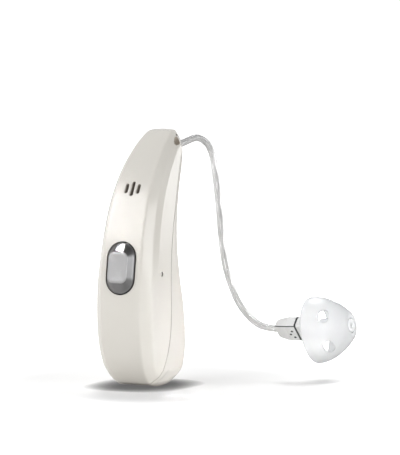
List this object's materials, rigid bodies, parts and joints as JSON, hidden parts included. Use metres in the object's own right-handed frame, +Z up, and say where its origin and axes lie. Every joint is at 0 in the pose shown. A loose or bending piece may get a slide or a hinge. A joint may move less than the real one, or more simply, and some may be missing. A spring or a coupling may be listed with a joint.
{
  "type": "behind-the-ear hearing aid",
  "caption": "Slim curved behind-the-ear hearing aid with a rocker button, a thin clear lead to an in-ear receiver, and a soft vented ear dome.",
  "frame": {"origin": "middle of the hollow rear face of the housing, where the aid sits on the ear", "axes": "+X across the aid towards the receiver's side, +Y from the spine towards the ear, +Z up along the housing to the nose"},
  "size_m": [0.0274, 0.0275, 0.0328],
  "materials": {
    "pearl_shell": "pearl gloss",
    "rocker_grey": "satin gloss",
    "dark_seal": "matt",
    "pin_steel": "satin",
    "switch_steel": "satin",
    "board": "solder mask",
    "chip": "matt",
    "frame_plastic": "matt",
    "cell_steel": "satin",
    "contact_gold": "plated",
    "copper": "lacquered wire",
    "mesh_dark": "fine mesh",
    "plug_plastic": "satin",
    "clear_jacket": "clear and smooth",
    "conductor_silver": "bright tinned wire",
    "receiver_plastic": "translucent gloss",
    "receiver_seam": "matt",
    "silicone": "translucent satin",
    "guard_white": "satin"
  },
  "bodies": {
    "housing": {"front_shell": "pearl_shell", "rear_shell": "pearl_shell", "button_seal": "dark_seal", "rocker_pin": "pin_steel", "upper_switch": "switch_steel", "lower_switch": "switch_steel", "circuit_board": "board", "sound_processor": "chip", "radio_chip": "chip", "inner_frame": "frame_plastic", "frame_pin": "pin_steel", "battery_cell": "cell_steel", "battery_tabs": "contact_gold", "charging_coil": "copper", "coil_ferrite": "chip", "antenna_strip": "copper", "flex_tail": "copper", "rear_microphone": "switch_steel", "rear_mic_screen": "mesh_dark", "front_microphone": "switch_steel", "front_mic_screen": "mesh_dark", "receiver_socket": "plug_plastic", "socket_contacts": "contact_gold"},
    "rocker": {"rocker_button": "rocker_grey"},
    "lead": {"lead_plug": "plug_plastic", "plug_contacts": "contact_gold", "wire_jacket": "clear_jacket", "wire_conductors": "conductor_silver", "receiver_boot": "receiver_plastic", "receiver_upper_shell": "receiver_plastic", "receiver_lower_shell": "receiver_plastic", "receiver_gasket": "receiver_seam", "receiver_front_shell": "receiver_plastic", "receiver_driver": "switch_steel", "receiver_nozzle": "receiver_plastic"},
    "dome": {"ear_dome": "silicone"},
    "guard": {"wax_guard": "guard_white"}
  },
  "joints": [
    {"name": "rocker_tilt", "type": "hinge", "parent": "housing", "child": "rocker", "pos_m": [0, -0.00815, -0.00206], "axis": [1, 0, 0], "range_deg": [-3.5, 3.5], "stiffness_Nm_per_rad": 0.002},
    {"name": "lead_pull", "type": "slide", "parent": "housing", "child": "lead", "axis": [0, 0.9781, 0.2079], "range_m": [0, 0.006]},
    {"name": "dome_pull", "type": "slide", "parent": "lead", "child": "dome", "axis": [0.9848, 0, 0.1736], "range_m": [0, 0.006]},
    {"name": "guard_pull", "type": "slide", "parent": "lead", "child": "guard", "axis": [0.9848, 0, 0.1736], "range_m": [0, 0.003]}
  ]
}
